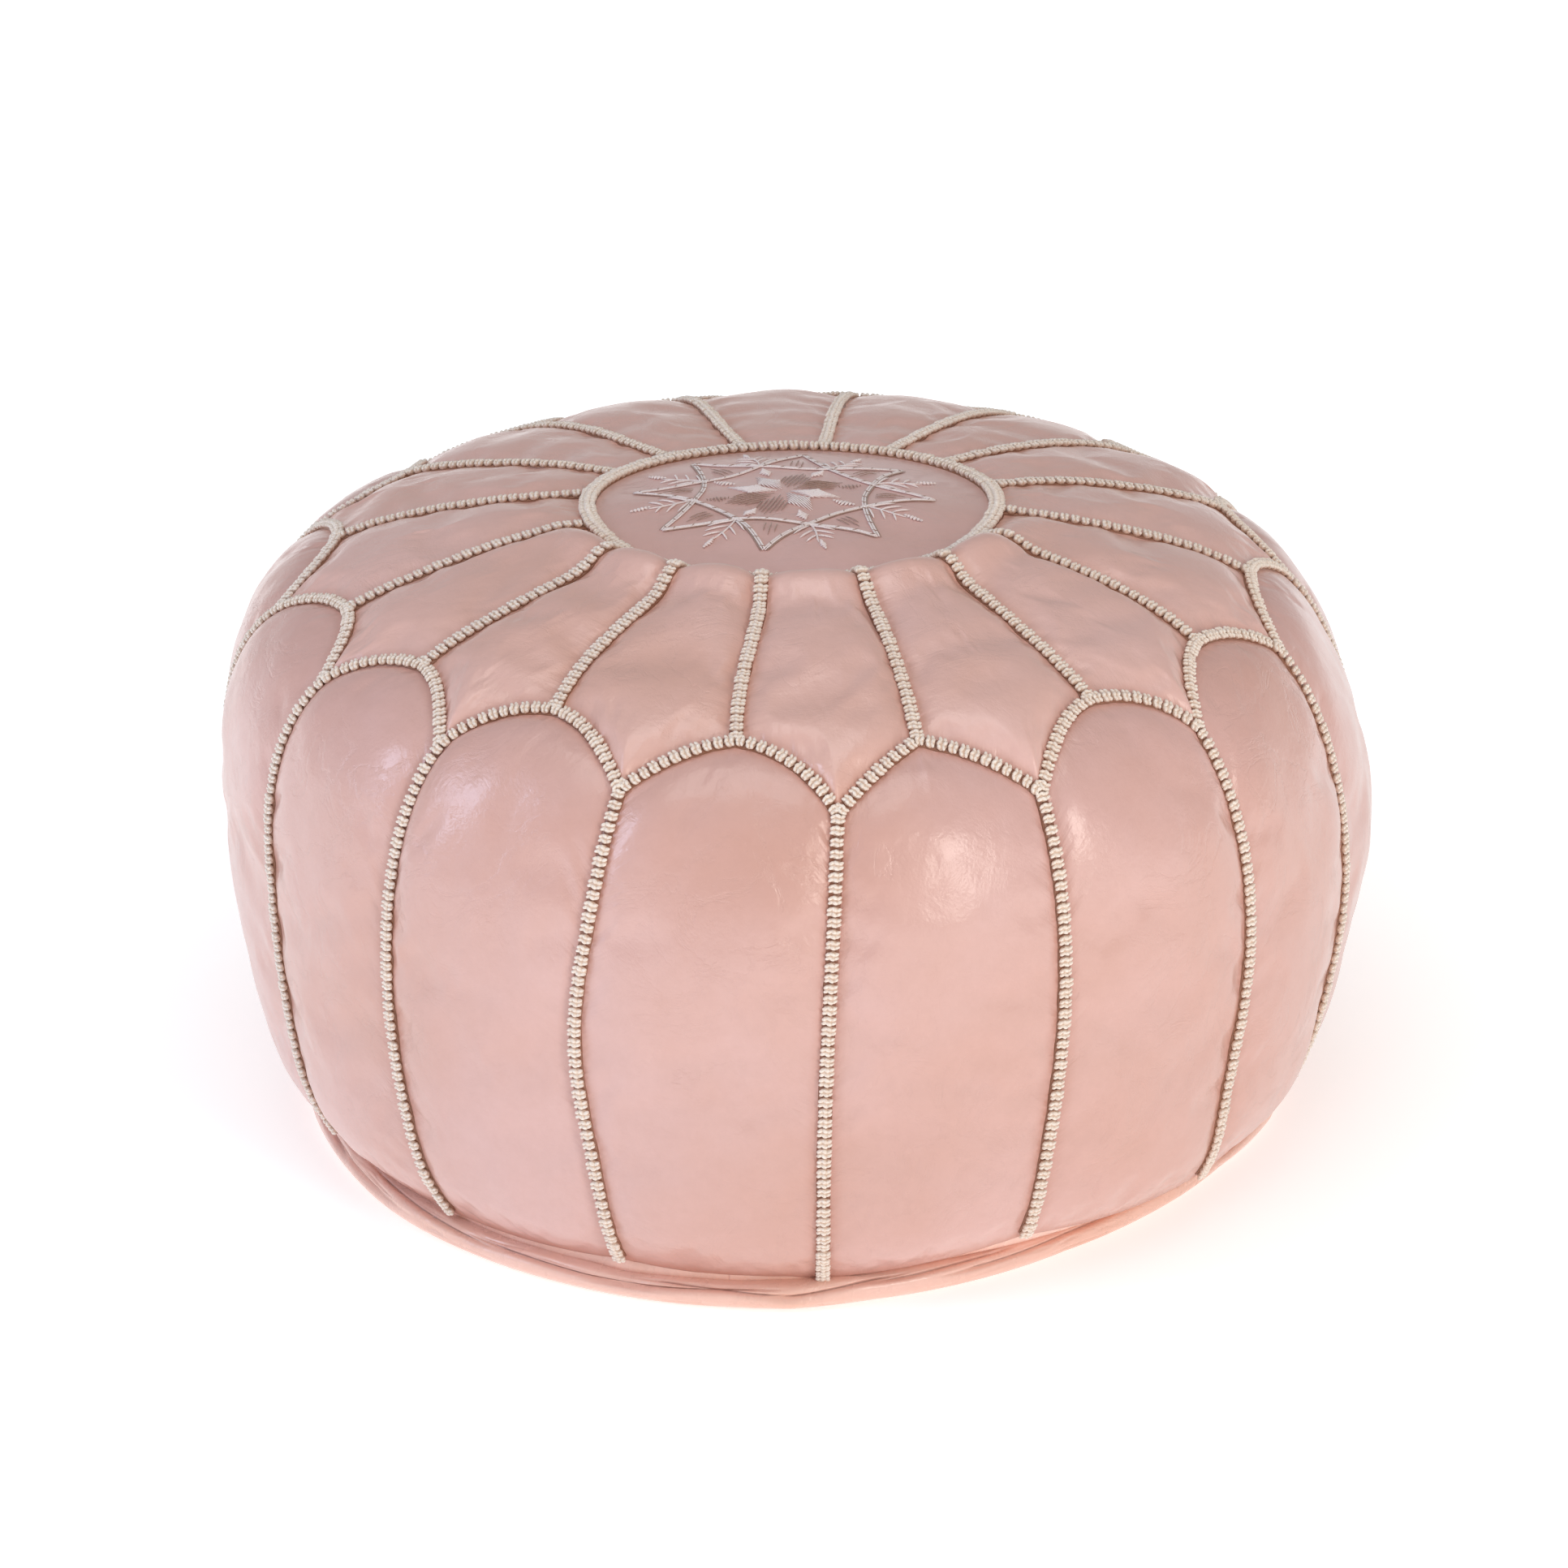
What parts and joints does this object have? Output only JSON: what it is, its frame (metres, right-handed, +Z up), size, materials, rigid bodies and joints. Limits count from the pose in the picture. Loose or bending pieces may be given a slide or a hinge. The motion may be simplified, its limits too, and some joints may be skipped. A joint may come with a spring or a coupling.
{
  "type": "moroccan leather pouf",
  "caption": "Round stuffed leather floor pouf with scalloped side panels, braided seams and an embroidered round top; the base closes with a zip",
  "frame": {"origin": "centre of the base, on the surface the pouf stands on", "axes": "+Z up; -Y is the front, where one radial seam points; +X is to the right and the zip runs along X, closed end at +X"},
  "size_m": [0.5402, 0.5402, 0.291],
  "materials": {
    "medallion_leather": "satin",
    "petal_leather": "satin",
    "panel_leather": "satin",
    "rim_leather": "satin",
    "base_leather": "matte",
    "braid_thread": "satin",
    "embroidery_silk": "satin",
    "zip_tape": "matte",
    "zip_teeth": "satin",
    "zip_metal": "satin",
    "bag_cotton": "matte",
    "filling": "matte"
  },
  "bodies": {
    "cover": {"arch_braids": "braid_thread", "base_back_half": "base_leather", "base_front_half": "base_leather", "base_rim_band": "rim_leather", "inner_bag": "bag_cotton", "medallion": "medallion_leather", "medallion_ring_braid": "braid_thread", "petal_seam_braids": "braid_thread", "rosette_embroidery": "embroidery_silk", "side_panel_01": "panel_leather", "side_panel_02": "panel_leather", "side_panel_03": "panel_leather", "side_panel_04": "panel_leather", "side_panel_05": "panel_leather", "side_panel_06": "panel_leather", "side_panel_07": "panel_leather", "side_panel_08": "panel_leather", "side_panel_09": "panel_leather", "side_panel_10": "panel_leather", "side_panel_11": "panel_leather", "side_panel_12": "panel_leather", "side_panel_13": "panel_leather", "side_panel_14": "panel_leather", "side_panel_15": "panel_leather", "side_panel_16": "panel_leather", "side_seam_braids": "braid_thread", "sprig_embroidery": "embroidery_silk", "star_embroidery": "embroidery_silk", "stuffing": "filling", "top_petal_01": "petal_leather", "top_petal_02": "petal_leather", "top_petal_03": "petal_leather", "top_petal_04": "petal_leather", "top_petal_05": "petal_leather", "top_petal_06": "petal_leather", "top_petal_07": "petal_leather", "top_petal_08": "petal_leather", "top_petal_09": "petal_leather", "top_petal_10": "petal_leather", "top_petal_11": "petal_leather", "top_petal_12": "petal_leather", "top_petal_13": "petal_leather", "top_petal_14": "petal_leather", "top_petal_15": "petal_leather", "top_petal_16": "petal_leather", "zip_bottom_stop": "zip_metal", "zip_end_patch_left": "base_leather", "zip_end_patch_right": "base_leather", "zip_tape_back": "zip_tape", "zip_tape_front": "zip_tape", "zip_teeth_back": "zip_teeth", "zip_teeth_front": "zip_teeth", "zip_top_stops": "zip_metal"},
    "slider": {"zip_slider": "zip_metal"},
    "pull": {"zip_pull": "zip_metal"}
  },
  "joints": [
    {"name": "zip_travel", "type": "slide", "parent": "cover", "child": "slider", "axis": [-1, 0, 0], "range_m": [0, 0.391], "deforming": ["zip_teeth_front", "zip_teeth_back"]},
    {"name": "pull_swing", "type": "hinge", "parent": "slider", "child": "pull", "pos_m": [0.198, 0, 0.00395], "axis": [0, -1, 0], "range_deg": [-3, 164]}
  ]
}
